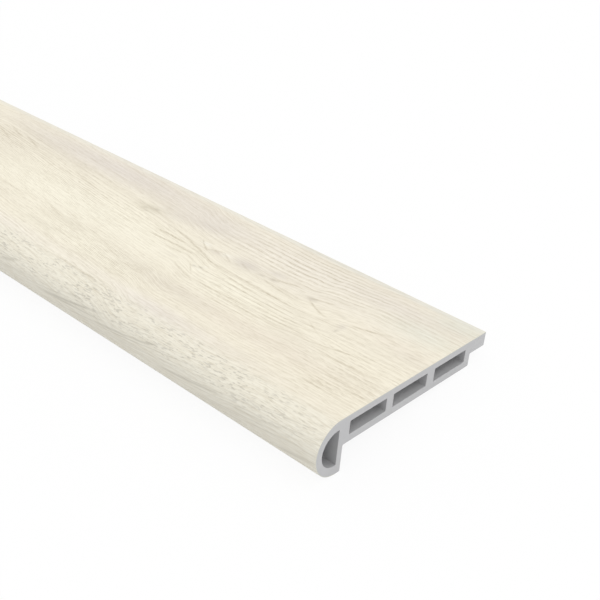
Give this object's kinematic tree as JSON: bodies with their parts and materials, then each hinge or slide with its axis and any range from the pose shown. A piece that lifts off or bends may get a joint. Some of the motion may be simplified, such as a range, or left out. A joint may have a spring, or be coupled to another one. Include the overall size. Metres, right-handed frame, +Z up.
{
  "type": "stair nosing",
  "caption": "Hollow extruded bullnose stair nosing with a wood-print film over its tread and nose, a hooked front lip and a thin rear lip that covers the edge of a floor plank.",
  "frame": {"origin": "centre of the bounding box on the floor that the profile lies on", "axes": "+X along the length, towards the cut end in view; +Y from the nose to the rear lip; +Z up from the floor"},
  "size_m": [1.2, 0.1108, 0.0256],
  "materials": {
    "grey_pvc": "extruded rigid PVC, plain grey, matt where it is sawn",
    "wood_print_film": "printed whitewashed-oak film under a low-sheen wear layer"
  },
  "bodies": {
    "root": {"core_profile": "grey_pvc", "wood_film": "wood_print_film"}
  },
  "joints": []
}
